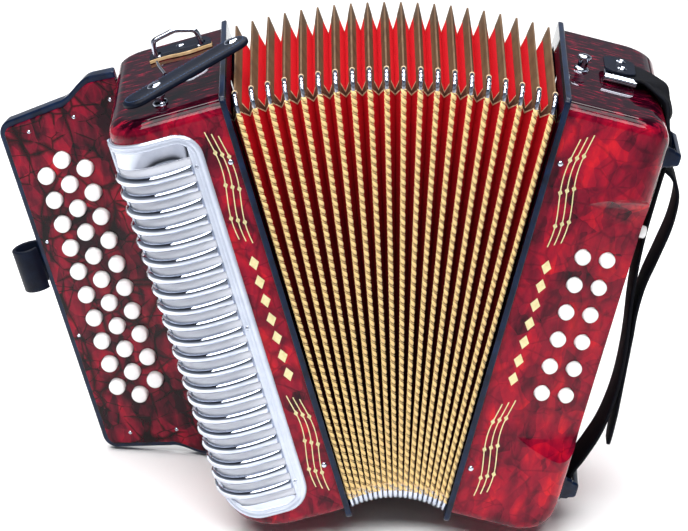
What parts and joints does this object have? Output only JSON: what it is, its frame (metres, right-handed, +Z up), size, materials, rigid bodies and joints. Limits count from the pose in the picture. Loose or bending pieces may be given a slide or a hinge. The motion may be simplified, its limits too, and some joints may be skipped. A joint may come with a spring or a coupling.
{
  "type": "button accordion",
  "caption": "Three-row button accordion in marbled red celluloid with a chrome louvred grille, standing with its bellows fanned open.",
  "frame": {"origin": "on the surface it stands on, under the middle of the whole instrument", "axes": "+X from the treble side to the bass side, -Y towards the front with the grille and buttons, +Z up"},
  "size_m": [0.4774, 0.1946, 0.3484],
  "materials": {
    "celluloid": "glossy marbled celluloid over wood",
    "chrome": "polished chrome",
    "black_wood": "gloss black lacquer",
    "white_plastic": "polished",
    "bellows": "cloth-covered card with woven tape",
    "leather": "semi-gloss stitched leather",
    "wood": "bare spruce",
    "steel": "bare"
  },
  "bodies": {
    "treble_side": {"treble_casing": "celluloid", "treble_grille": "chrome", "fingerboard": "black_wood", "fingerboard_cover": "celluloid", "treble_levers": "steel", "treble_reed_block": "wood", "treble_bellows_frame": "black_wood", "bellows": "bellows", "strap_ring_tab": "leather", "thumb_strap": "leather"},
    "bass_side": {"bass_casing": "celluloid", "bass_bellows_frame": "black_wood", "bass_reed_block": "wood", "hand_strap": "leather"},
    "strap_ring": {"strap_ring": "chrome"},
    "bellows_strap": {"bellows_strap": "leather"},
    "air_button": {"air_button": "white_plastic"},
    "bass_button_inner_1": {"bass_button_inner_1": "white_plastic"},
    "bass_button_inner_2": {"bass_button_inner_2": "white_plastic"},
    "bass_button_inner_3": {"bass_button_inner_3": "white_plastic"},
    "bass_button_inner_4": {"bass_button_inner_4": "white_plastic"},
    "bass_button_inner_5": {"bass_button_inner_5": "white_plastic"},
    "bass_button_inner_6": {"bass_button_inner_6": "white_plastic"},
    "bass_button_outer_1": {"bass_button_outer_1": "white_plastic"},
    "bass_button_outer_2": {"bass_button_outer_2": "white_plastic"},
    "bass_button_outer_3": {"bass_button_outer_3": "white_plastic"},
    "bass_button_outer_4": {"bass_button_outer_4": "white_plastic"},
    "bass_button_outer_5": {"bass_button_outer_5": "white_plastic"},
    "bass_button_outer_6": {"bass_button_outer_6": "white_plastic"},
    "treble_button_inner_01": {"treble_button_inner_01": "white_plastic"},
    "treble_button_inner_02": {"treble_button_inner_02": "white_plastic"},
    "treble_button_inner_03": {"treble_button_inner_03": "white_plastic"},
    "treble_button_inner_04": {"treble_button_inner_04": "white_plastic"},
    "treble_button_inner_05": {"treble_button_inner_05": "white_plastic"},
    "treble_button_inner_06": {"treble_button_inner_06": "white_plastic"},
    "treble_button_inner_07": {"treble_button_inner_07": "white_plastic"},
    "treble_button_inner_08": {"treble_button_inner_08": "white_plastic"},
    "treble_button_inner_09": {"treble_button_inner_09": "white_plastic"},
    "treble_button_inner_10": {"treble_button_inner_10": "white_plastic"},
    "treble_button_middle_01": {"treble_button_middle_01": "white_plastic"},
    "treble_button_middle_02": {"treble_button_middle_02": "white_plastic"},
    "treble_button_middle_03": {"treble_button_middle_03": "white_plastic"},
    "treble_button_middle_04": {"treble_button_middle_04": "white_plastic"},
    "treble_button_middle_05": {"treble_button_middle_05": "white_plastic"},
    "treble_button_middle_06": {"treble_button_middle_06": "white_plastic"},
    "treble_button_middle_07": {"treble_button_middle_07": "white_plastic"},
    "treble_button_middle_08": {"treble_button_middle_08": "white_plastic"},
    "treble_button_middle_09": {"treble_button_middle_09": "white_plastic"},
    "treble_button_middle_10": {"treble_button_middle_10": "white_plastic"},
    "treble_button_middle_11": {"treble_button_middle_11": "white_plastic"},
    "treble_button_outer_01": {"treble_button_outer_01": "white_plastic"},
    "treble_button_outer_02": {"treble_button_outer_02": "white_plastic"},
    "treble_button_outer_03": {"treble_button_outer_03": "white_plastic"},
    "treble_button_outer_04": {"treble_button_outer_04": "white_plastic"},
    "treble_button_outer_05": {"treble_button_outer_05": "white_plastic"},
    "treble_button_outer_06": {"treble_button_outer_06": "white_plastic"},
    "treble_button_outer_07": {"treble_button_outer_07": "white_plastic"},
    "treble_button_outer_08": {"treble_button_outer_08": "white_plastic"},
    "treble_button_outer_09": {"treble_button_outer_09": "white_plastic"},
    "treble_button_outer_10": {"treble_button_outer_10": "white_plastic"}
  },
  "joints": [
    {"name": "bellows_fan", "type": "hinge", "parent": "treble_side", "child": "bass_side", "pos_m": [0.03926, -0.08718, 0.02884], "axis": [0.008, 0.9861, -0.166], "range_deg": [-29.5, 18], "deforming": ["bellows"]},
    {"name": "air_button_press", "type": "slide", "parent": "bass_side", "child": "air_button", "axis": [-0.9699, 0.0503, 0.2382], "range_m": [0, 0.004], "stiffness_N_per_m": 150, "springref_m": -0.005},
    {"name": "bellows_strap_swivel", "type": "hinge", "parent": "treble_side", "child": "bellows_strap", "pos_m": [-0.11523, -0.05966, 0.31991], "axis": [-0.2642, -0.0094, 0.9644], "range_deg": [-25, 60]},
    {"name": "strap_ring_hinge", "type": "hinge", "parent": "treble_side", "child": "strap_ring", "pos_m": [-0.10665, 0.04471, 0.31669], "axis": [-0.9638, -0.0343, -0.2644], "range_deg": [-70, 70]},
    {"name": "bass_press_inner_1", "type": "slide", "parent": "bass_side", "child": "bass_button_inner_1", "axis": [-0.2635, 0.9616, 0.0768], "range_m": [0, 0.0035], "stiffness_N_per_m": 120, "springref_m": -0.005},
    {"name": "bass_press_inner_2", "type": "slide", "parent": "bass_side", "child": "bass_button_inner_2", "axis": [-0.2635, 0.9616, 0.0768], "range_m": [0, 0.0035], "stiffness_N_per_m": 120, "springref_m": -0.005},
    {"name": "bass_press_inner_3", "type": "slide", "parent": "bass_side", "child": "bass_button_inner_3", "axis": [-0.2635, 0.9616, 0.0768], "range_m": [0, 0.0035], "stiffness_N_per_m": 120, "springref_m": -0.005},
    {"name": "bass_press_inner_4", "type": "slide", "parent": "bass_side", "child": "bass_button_inner_4", "axis": [-0.2635, 0.9616, 0.0768], "range_m": [0, 0.0035], "stiffness_N_per_m": 120, "springref_m": -0.005},
    {"name": "bass_press_inner_5", "type": "slide", "parent": "bass_side", "child": "bass_button_inner_5", "axis": [-0.2635, 0.9616, 0.0768], "range_m": [0, 0.0035], "stiffness_N_per_m": 120, "springref_m": -0.005},
    {"name": "bass_press_inner_6", "type": "slide", "parent": "bass_side", "child": "bass_button_inner_6", "axis": [-0.2635, 0.9616, 0.0768], "range_m": [0, 0.0035], "stiffness_N_per_m": 120, "springref_m": -0.005},
    {"name": "bass_press_outer_1", "type": "slide", "parent": "bass_side", "child": "bass_button_outer_1", "axis": [-0.2635, 0.9616, 0.0768], "range_m": [0, 0.0035], "stiffness_N_per_m": 120, "springref_m": -0.005},
    {"name": "bass_press_outer_2", "type": "slide", "parent": "bass_side", "child": "bass_button_outer_2", "axis": [-0.2635, 0.9616, 0.0768], "range_m": [0, 0.0035], "stiffness_N_per_m": 120, "springref_m": -0.005},
    {"name": "bass_press_outer_3", "type": "slide", "parent": "bass_side", "child": "bass_button_outer_3", "axis": [-0.2635, 0.9616, 0.0768], "range_m": [0, 0.0035], "stiffness_N_per_m": 120, "springref_m": -0.005},
    {"name": "bass_press_outer_4", "type": "slide", "parent": "bass_side", "child": "bass_button_outer_4", "axis": [-0.2635, 0.9616, 0.0768], "range_m": [0, 0.0035], "stiffness_N_per_m": 120, "springref_m": -0.005},
    {"name": "bass_press_outer_5", "type": "slide", "parent": "bass_side", "child": "bass_button_outer_5", "axis": [-0.2635, 0.9616, 0.0768], "range_m": [0, 0.0035], "stiffness_N_per_m": 120, "springref_m": -0.005},
    {"name": "bass_press_outer_6", "type": "slide", "parent": "bass_side", "child": "bass_button_outer_6", "axis": [-0.2635, 0.9616, 0.0768], "range_m": [0, 0.0035], "stiffness_N_per_m": 120, "springref_m": -0.005},
    {"name": "treble_press_inner_01", "type": "slide", "parent": "treble_side", "child": "treble_button_inner_01", "axis": [0.1606, 0.9856, 0.0536], "range_m": [0, 0.004], "stiffness_N_per_m": 120, "springref_m": -0.005},
    {"name": "treble_press_inner_02", "type": "slide", "parent": "treble_side", "child": "treble_button_inner_02", "axis": [0.1606, 0.9856, 0.0536], "range_m": [0, 0.004], "stiffness_N_per_m": 120, "springref_m": -0.005},
    {"name": "treble_press_inner_03", "type": "slide", "parent": "treble_side", "child": "treble_button_inner_03", "axis": [0.1606, 0.9856, 0.0536], "range_m": [0, 0.004], "stiffness_N_per_m": 120, "springref_m": -0.005},
    {"name": "treble_press_inner_04", "type": "slide", "parent": "treble_side", "child": "treble_button_inner_04", "axis": [0.1606, 0.9856, 0.0536], "range_m": [0, 0.004], "stiffness_N_per_m": 120, "springref_m": -0.005},
    {"name": "treble_press_inner_05", "type": "slide", "parent": "treble_side", "child": "treble_button_inner_05", "axis": [0.1606, 0.9856, 0.0536], "range_m": [0, 0.004], "stiffness_N_per_m": 120, "springref_m": -0.005},
    {"name": "treble_press_inner_06", "type": "slide", "parent": "treble_side", "child": "treble_button_inner_06", "axis": [0.1606, 0.9856, 0.0536], "range_m": [0, 0.004], "stiffness_N_per_m": 120, "springref_m": -0.005},
    {"name": "treble_press_inner_07", "type": "slide", "parent": "treble_side", "child": "treble_button_inner_07", "axis": [0.1606, 0.9856, 0.0536], "range_m": [0, 0.004], "stiffness_N_per_m": 120, "springref_m": -0.005},
    {"name": "treble_press_inner_08", "type": "slide", "parent": "treble_side", "child": "treble_button_inner_08", "axis": [0.1606, 0.9856, 0.0536], "range_m": [0, 0.004], "stiffness_N_per_m": 120, "springref_m": -0.005},
    {"name": "treble_press_inner_09", "type": "slide", "parent": "treble_side", "child": "treble_button_inner_09", "axis": [0.1606, 0.9856, 0.0536], "range_m": [0, 0.004], "stiffness_N_per_m": 120, "springref_m": -0.005},
    {"name": "treble_press_inner_10", "type": "slide", "parent": "treble_side", "child": "treble_button_inner_10", "axis": [0.1606, 0.9856, 0.0536], "range_m": [0, 0.004], "stiffness_N_per_m": 120, "springref_m": -0.005},
    {"name": "treble_press_middle_01", "type": "slide", "parent": "treble_side", "child": "treble_button_middle_01", "axis": [0.1606, 0.9856, 0.0536], "range_m": [0, 0.004], "stiffness_N_per_m": 120, "springref_m": -0.005},
    {"name": "treble_press_middle_02", "type": "slide", "parent": "treble_side", "child": "treble_button_middle_02", "axis": [0.1606, 0.9856, 0.0536], "range_m": [0, 0.004], "stiffness_N_per_m": 120, "springref_m": -0.005},
    {"name": "treble_press_middle_03", "type": "slide", "parent": "treble_side", "child": "treble_button_middle_03", "axis": [0.1606, 0.9856, 0.0536], "range_m": [0, 0.004], "stiffness_N_per_m": 120, "springref_m": -0.005},
    {"name": "treble_press_middle_04", "type": "slide", "parent": "treble_side", "child": "treble_button_middle_04", "axis": [0.1606, 0.9856, 0.0536], "range_m": [0, 0.004], "stiffness_N_per_m": 120, "springref_m": -0.005},
    {"name": "treble_press_middle_05", "type": "slide", "parent": "treble_side", "child": "treble_button_middle_05", "axis": [0.1606, 0.9856, 0.0536], "range_m": [0, 0.004], "stiffness_N_per_m": 120, "springref_m": -0.005},
    {"name": "treble_press_middle_06", "type": "slide", "parent": "treble_side", "child": "treble_button_middle_06", "axis": [0.1606, 0.9856, 0.0536], "range_m": [0, 0.004], "stiffness_N_per_m": 120, "springref_m": -0.005},
    {"name": "treble_press_middle_07", "type": "slide", "parent": "treble_side", "child": "treble_button_middle_07", "axis": [0.1606, 0.9856, 0.0536], "range_m": [0, 0.004], "stiffness_N_per_m": 120, "springref_m": -0.005},
    {"name": "treble_press_middle_08", "type": "slide", "parent": "treble_side", "child": "treble_button_middle_08", "axis": [0.1606, 0.9856, 0.0536], "range_m": [0, 0.004], "stiffness_N_per_m": 120, "springref_m": -0.005},
    {"name": "treble_press_middle_09", "type": "slide", "parent": "treble_side", "child": "treble_button_middle_09", "axis": [0.1606, 0.9856, 0.0536], "range_m": [0, 0.004], "stiffness_N_per_m": 120, "springref_m": -0.005},
    {"name": "treble_press_middle_10", "type": "slide", "parent": "treble_side", "child": "treble_button_middle_10", "axis": [0.1606, 0.9856, 0.0536], "range_m": [0, 0.004], "stiffness_N_per_m": 120, "springref_m": -0.005},
    {"name": "treble_press_middle_11", "type": "slide", "parent": "treble_side", "child": "treble_button_middle_11", "axis": [0.1606, 0.9856, 0.0536], "range_m": [0, 0.004], "stiffness_N_per_m": 120, "springref_m": -0.005},
    {"name": "treble_press_outer_01", "type": "slide", "parent": "treble_side", "child": "treble_button_outer_01", "axis": [0.1606, 0.9856, 0.0536], "range_m": [0, 0.004], "stiffness_N_per_m": 120, "springref_m": -0.005},
    {"name": "treble_press_outer_02", "type": "slide", "parent": "treble_side", "child": "treble_button_outer_02", "axis": [0.1606, 0.9856, 0.0536], "range_m": [0, 0.004], "stiffness_N_per_m": 120, "springref_m": -0.005},
    {"name": "treble_press_outer_03", "type": "slide", "parent": "treble_side", "child": "treble_button_outer_03", "axis": [0.1606, 0.9856, 0.0536], "range_m": [0, 0.004], "stiffness_N_per_m": 120, "springref_m": -0.005},
    {"name": "treble_press_outer_04", "type": "slide", "parent": "treble_side", "child": "treble_button_outer_04", "axis": [0.1606, 0.9856, 0.0536], "range_m": [0, 0.004], "stiffness_N_per_m": 120, "springref_m": -0.005},
    {"name": "treble_press_outer_05", "type": "slide", "parent": "treble_side", "child": "treble_button_outer_05", "axis": [0.1606, 0.9856, 0.0536], "range_m": [0, 0.004], "stiffness_N_per_m": 120, "springref_m": -0.005},
    {"name": "treble_press_outer_06", "type": "slide", "parent": "treble_side", "child": "treble_button_outer_06", "axis": [0.1606, 0.9856, 0.0536], "range_m": [0, 0.004], "stiffness_N_per_m": 120, "springref_m": -0.005},
    {"name": "treble_press_outer_07", "type": "slide", "parent": "treble_side", "child": "treble_button_outer_07", "axis": [0.1606, 0.9856, 0.0536], "range_m": [0, 0.004], "stiffness_N_per_m": 120, "springref_m": -0.005},
    {"name": "treble_press_outer_08", "type": "slide", "parent": "treble_side", "child": "treble_button_outer_08", "axis": [0.1606, 0.9856, 0.0536], "range_m": [0, 0.004], "stiffness_N_per_m": 120, "springref_m": -0.005},
    {"name": "treble_press_outer_09", "type": "slide", "parent": "treble_side", "child": "treble_button_outer_09", "axis": [0.1606, 0.9856, 0.0536], "range_m": [0, 0.004], "stiffness_N_per_m": 120, "springref_m": -0.005},
    {"name": "treble_press_outer_10", "type": "slide", "parent": "treble_side", "child": "treble_button_outer_10", "axis": [0.1606, 0.9856, 0.0536], "range_m": [0, 0.004], "stiffness_N_per_m": 120, "springref_m": -0.005}
  ]
}
